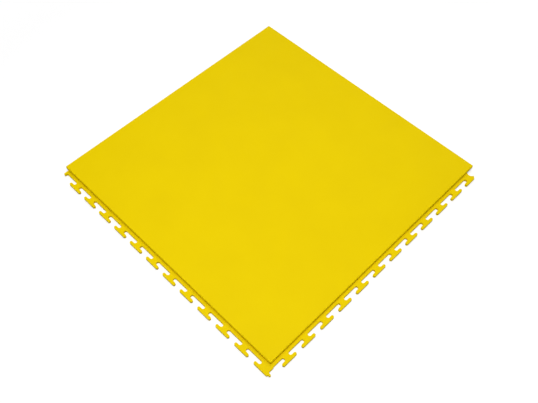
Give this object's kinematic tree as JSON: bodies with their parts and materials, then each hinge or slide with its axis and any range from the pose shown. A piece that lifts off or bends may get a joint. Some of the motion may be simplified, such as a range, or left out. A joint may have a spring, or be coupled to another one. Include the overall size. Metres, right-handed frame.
{
  "type": "interlocking floor tile",
  "caption": "Square yellow PVC floor tile with T-shaped lock tabs below deck level on two sides and hidden matching sockets under the other two.",
  "frame": {"origin": "on the underside, at the middle of the square deck", "axes": "+Z out of the walking surface; the tabs stick out to -X and -Y, the sockets are under +X and +Y"},
  "size_m": [0.5161, 0.5161, 0.01],
  "materials": {
    "pvc": "smooth satin coloured PVC, the same colour all through"
  },
  "bodies": {
    "root": {"floor_tile": "pvc"}
  },
  "joints": []
}
